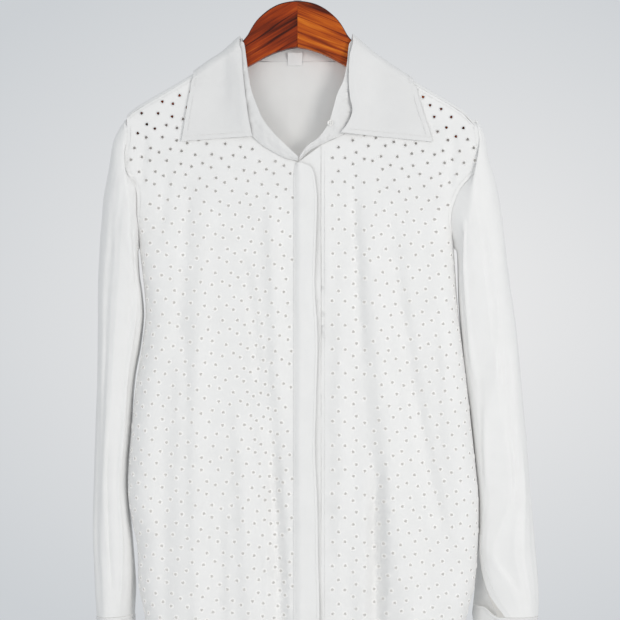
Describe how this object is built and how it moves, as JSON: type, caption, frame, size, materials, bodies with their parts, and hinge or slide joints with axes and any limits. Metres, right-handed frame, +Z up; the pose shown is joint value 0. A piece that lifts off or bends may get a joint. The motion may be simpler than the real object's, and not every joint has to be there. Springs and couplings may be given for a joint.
{
  "type": "eyelet shirt on a wooden clothes hanger",
  "caption": "White cotton shirt with cutwork eyelet fronts, a wide collar and a hidden button band, hanging on a varnished wooden hanger with a steel hook.",
  "frame": {"origin": "under the top of the hook's bend, where a rail carries it", "axes": "+Z up along the hook's stem, +X to the right as seen from the front, -Y out of the front"},
  "size_m": [0.5172, 0.0916, 0.8536],
  "materials": {
    "eyelet_cotton": "matt",
    "plain_cotton": "matt",
    "label_white": "satin",
    "pearl": "gloss",
    "wood_dark": "varnished",
    "wood_warm": "varnished",
    "steel": "polished"
  },
  "bodies": {
    "root": {"front_right": "eyelet_cotton", "front_left": "eyelet_cotton", "back": "plain_cotton", "sleeve_right": "plain_cotton", "sleeve_left": "plain_cotton", "cuff_right": "plain_cotton", "cuff_left": "plain_cotton", "collar_stand": "plain_cotton", "collar_fall": "plain_cotton", "band_outer": "plain_cotton", "band_under": "plain_cotton", "label_size": "label_white", "hanger_right": "wood_dark", "hanger_left": "wood_warm", "hook": "steel", "button_cuff_right": "pearl", "button_cuff_left": "pearl", "button_front_1": "pearl", "button_front_2": "pearl", "button_front_3": "pearl", "button_front_4": "pearl", "button_front_5": "pearl", "button_front_6": "pearl"}
  },
  "joints": []
}
